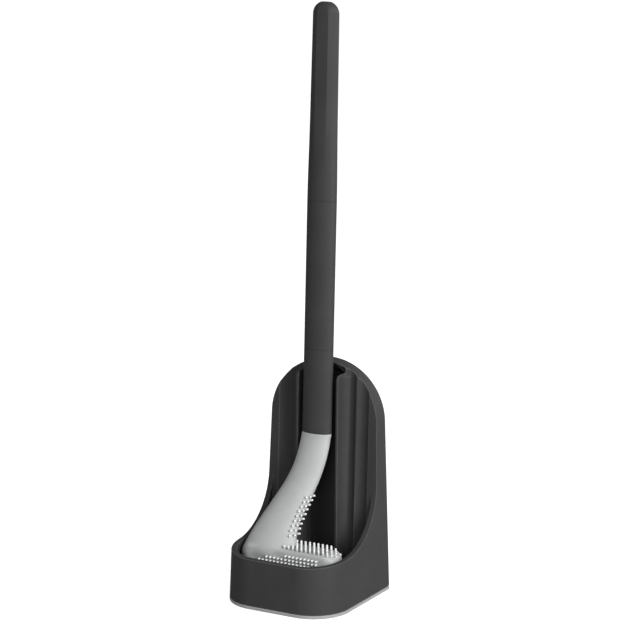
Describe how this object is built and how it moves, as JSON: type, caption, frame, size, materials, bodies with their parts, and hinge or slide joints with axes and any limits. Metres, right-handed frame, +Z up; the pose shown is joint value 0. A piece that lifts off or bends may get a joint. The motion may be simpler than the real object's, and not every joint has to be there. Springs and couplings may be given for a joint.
{
  "type": "toilet brush holder",
  "caption": "Arched open-front holder with a fluted back and lift-off tray, holding a toilet brush with an oval handle and a golf-club silicone head.",
  "frame": {"origin": "centre of the holder's footprint, on the surface it stands on", "axes": "+Z up, -Y out of the open front, +Y into the flat back, X across the symmetric holder"},
  "size_m": [0.095, 0.0892, 0.43],
  "materials": {
    "dark_plastic": "satin moulded charcoal",
    "handle_plastic": "satin moulded charcoal",
    "light_plastic": "satin moulded light grey",
    "core_plastic": "natural moulded",
    "grey_silicone": "soft matte silicone",
    "pad_rubber": "matte"
  },
  "bodies": {
    "tray": {"base_tray": "light_plastic", "grip_pads": "pad_rubber"},
    "holder": {"holder_body": "dark_plastic", "back_cover": "dark_plastic"},
    "brush": {"handle_upper": "handle_plastic", "handle_middle": "handle_plastic", "handle_lower": "handle_plastic", "upper_joiner": "core_plastic", "lower_joiner": "core_plastic", "head_core": "core_plastic", "silicone_head": "grey_silicone", "instep_bristles": "grey_silicone", "foot_bristles": "grey_silicone", "front_bristles": "grey_silicone", "sole_bristles": "grey_silicone"}
  },
  "joints": [
    {"name": "holder_lift", "type": "slide", "parent": "tray", "child": "holder", "axis": [0, 0, 1], "range_m": [0, 0.015]},
    {"name": "brush_lift", "type": "slide", "parent": "tray", "child": "brush", "axis": [0, 0, 1], "range_m": [0, 0.17]}
  ]
}
